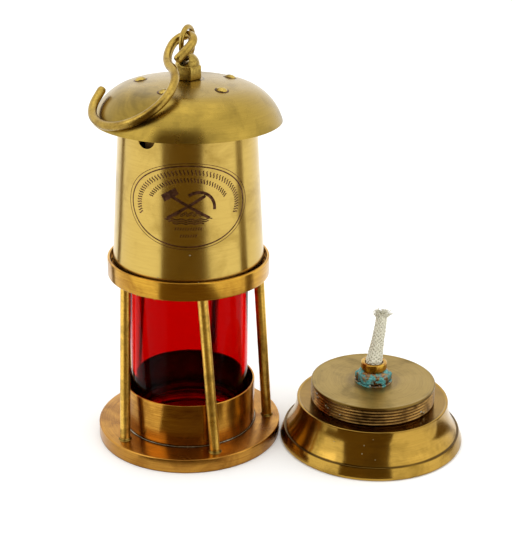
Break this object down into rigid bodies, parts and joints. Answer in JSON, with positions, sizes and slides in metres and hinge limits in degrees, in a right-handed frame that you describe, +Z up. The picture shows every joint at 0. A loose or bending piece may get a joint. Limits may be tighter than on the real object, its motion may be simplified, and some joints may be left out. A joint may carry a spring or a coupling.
{
  "type": "miner's safety lamp",
  "caption": "Antique brass miner's safety lamp with a ruby glass, a riveted hood and a hook, beside its unscrewed oil font.",
  "frame": {"origin": "the lamp's axis at the underside of its base", "axes": "+Z up the lamp's axis, -Y towards the side with the badge, +X towards the oil font that stands beside the lamp"},
  "size_m": [0.1535, 0.077, 0.1728],
  "materials": {
    "antique_brass": "satin, tarnished",
    "dark_brass": "dull, darkened",
    "ruby_glass": "polished, transparent",
    "seal_washer": "matte",
    "brass_gauze": "woven, dull",
    "verdigris_brass": "corroded",
    "wick_cotton": "braided, matte"
  },
  "bodies": {
    "frame": {"base_flange": "antique_brass", "glass_guard_collar": "antique_brass", "glass_ledge": "dark_brass", "lower_glass_washer": "seal_washer", "glass_cylinder": "ruby_glass", "upper_glass_washer": "seal_washer", "middle_ring_band": "antique_brass", "middle_ring_shelf": "dark_brass", "gauze_cap": "brass_gauze", "gauze_ring": "antique_brass", "pillar_1": "antique_brass", "pillar_2": "antique_brass", "pillar_3": "antique_brass", "pillar_4": "antique_brass", "pillar_5": "antique_brass"},
    "bonnet": {"bonnet_shell": "antique_brass", "hood": "antique_brass", "hood_bracket": "dark_brass", "hood_rivets": "antique_brass", "finial_stud": "dark_brass", "stud_nut": "dark_brass", "finial": "antique_brass"},
    "hanger": {"hanger_ring": "antique_brass"},
    "hook": {"hook": "antique_brass"},
    "font": {"font_shell": "antique_brass", "font_bottom_plate": "antique_brass", "font_neck": "dark_brass", "font_top_plate": "antique_brass", "burner_washer": "verdigris_brass"},
    "burner": {"burner_nut": "verdigris_brass", "wick_holder": "antique_brass"},
    "wick": {"wick": "wick_cotton"}
  },
  "joints": [
    {"name": "bonnet_lift", "type": "slide", "parent": "frame", "child": "bonnet", "axis": [0, 0, 1], "range_m": [0, 0.08]},
    {"name": "ring_swing", "type": "hinge", "parent": "bonnet", "child": "hanger", "pos_m": [0, 0, 0.1598], "axis": [0.2588, 0.9659, 0], "range_deg": [0, 45]},
    {"name": "hook_lift", "type": "hinge", "parent": "hanger", "child": "hook", "pos_m": [-0.00083, -0.00329, 0.16693], "axis": [-0.6789, 0.7342, 0], "range_deg": [0, 70]},
    {"name": "font_slide", "type": "slide", "parent": "frame", "child": "font", "axis": [1, 0, 0], "range_m": [0, 0.08]},
    {"name": "burner_turn", "type": "hinge", "parent": "font", "child": "burner", "pos_m": [0.077, 0, 0.03], "axis": [0, 0, 1], "continuous": true},
    {"name": "wick_feed", "type": "slide", "parent": "burner", "child": "wick", "axis": [0, 0, 1], "range_m": [0, 0.006]}
  ]
}
